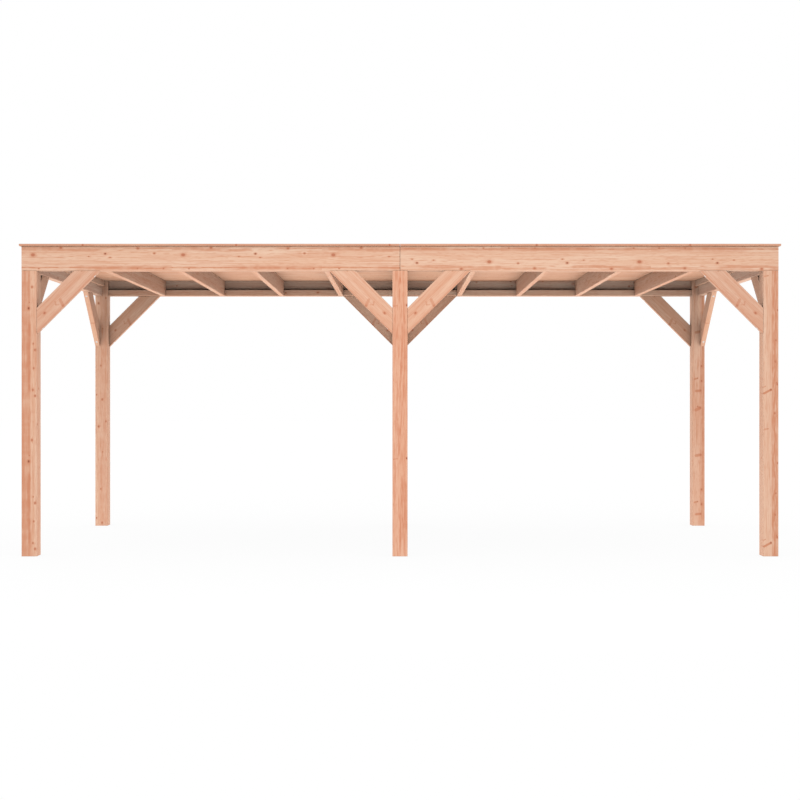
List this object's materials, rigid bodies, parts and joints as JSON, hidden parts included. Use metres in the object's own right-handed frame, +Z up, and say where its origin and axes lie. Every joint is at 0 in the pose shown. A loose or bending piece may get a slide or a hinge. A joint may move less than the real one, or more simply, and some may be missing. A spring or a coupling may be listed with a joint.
{
  "type": "carport",
  "caption": "Open timber carport with square posts, knee braces, a deep fascia beam and a flat boarded roof",
  "frame": {"origin": "on the ground, under the middle of the roof", "axes": "+X along the width to the right, +Y from front to back, +Z up"},
  "size_m": [6.034, 2.674, 2.476],
  "materials": {
    "post_timber": "planed softwood, untreated, eased arrises",
    "beam_timber": "planed softwood, untreated, eased arrises",
    "brace_timber": "planed softwood, untreated",
    "rafter_timber": "planed softwood, untreated",
    "cap_timber": "planed softwood, untreated",
    "deck_boards": "planed roof boards, untreated",
    "roof_rubber": "matt rubber sheet"
  },
  "bodies": {
    "root": {"back_centre_post": "post_timber", "back_ledgers": "rafter_timber", "back_left_beam": "beam_timber", "back_left_cap": "cap_timber", "back_left_centre_brace": "brace_timber", "back_left_outer_brace": "brace_timber", "back_left_post": "post_timber", "back_right_beam": "beam_timber", "back_right_cap": "cap_timber", "back_right_centre_brace": "brace_timber", "back_right_outer_brace": "brace_timber", "back_right_post": "post_timber", "front_centre_post": "post_timber", "front_ledgers": "rafter_timber", "front_left_beam": "beam_timber", "front_left_cap": "cap_timber", "front_left_centre_brace": "brace_timber", "front_left_outer_brace": "brace_timber", "front_left_post": "post_timber", "front_right_beam": "beam_timber", "front_right_cap": "cap_timber", "front_right_centre_brace": "brace_timber", "front_right_outer_brace": "brace_timber", "front_right_post": "post_timber", "left_back_side_brace": "brace_timber", "left_batten": "rafter_timber", "left_beam": "beam_timber", "left_cap": "cap_timber", "left_front_side_brace": "brace_timber", "rafter_1": "rafter_timber", "rafter_2": "rafter_timber", "rafter_3": "rafter_timber", "rafter_4": "rafter_timber", "rafter_5": "rafter_timber", "rafter_6": "rafter_timber", "rafter_7": "rafter_timber", "rafter_8": "rafter_timber", "rafter_9": "rafter_timber", "right_back_side_brace": "brace_timber", "right_batten": "rafter_timber", "right_beam": "beam_timber", "right_cap": "cap_timber", "right_front_side_brace": "brace_timber", "roof_deck": "deck_boards", "roof_membrane": "roof_rubber"}
  },
  "joints": []
}
